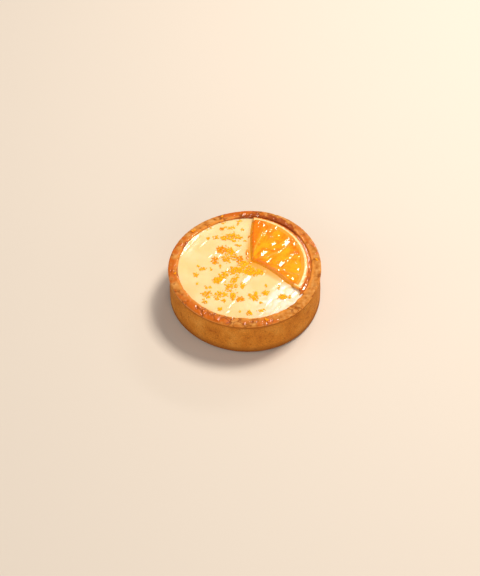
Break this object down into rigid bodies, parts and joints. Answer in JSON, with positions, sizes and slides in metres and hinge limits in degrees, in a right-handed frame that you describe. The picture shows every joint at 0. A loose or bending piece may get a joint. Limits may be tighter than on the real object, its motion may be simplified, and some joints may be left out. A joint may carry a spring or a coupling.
{
  "type": "citrus tart with a wedge of candied orange",
  "caption": "Small round citrus tart: straight-sided shortcrust case filled with pale set custard, topped with a wedge of candied orange and flecks of zest.",
  "frame": {"origin": "centre of the flat base", "axes": "+Z from the base up to the rim; -Y is the side that faces the viewer; the wedge of orange lies towards +X and +Y"},
  "size_m": [0.0802, 0.0803, 0.0235],
  "materials": {
    "shortcrust": "matte",
    "custard": "satin",
    "candied_orange": "gloss"
  },
  "bodies": {
    "root": {"tart_shell": "shortcrust", "custard": "custard", "orange_slice": "candied_orange"}
  },
  "joints": []
}
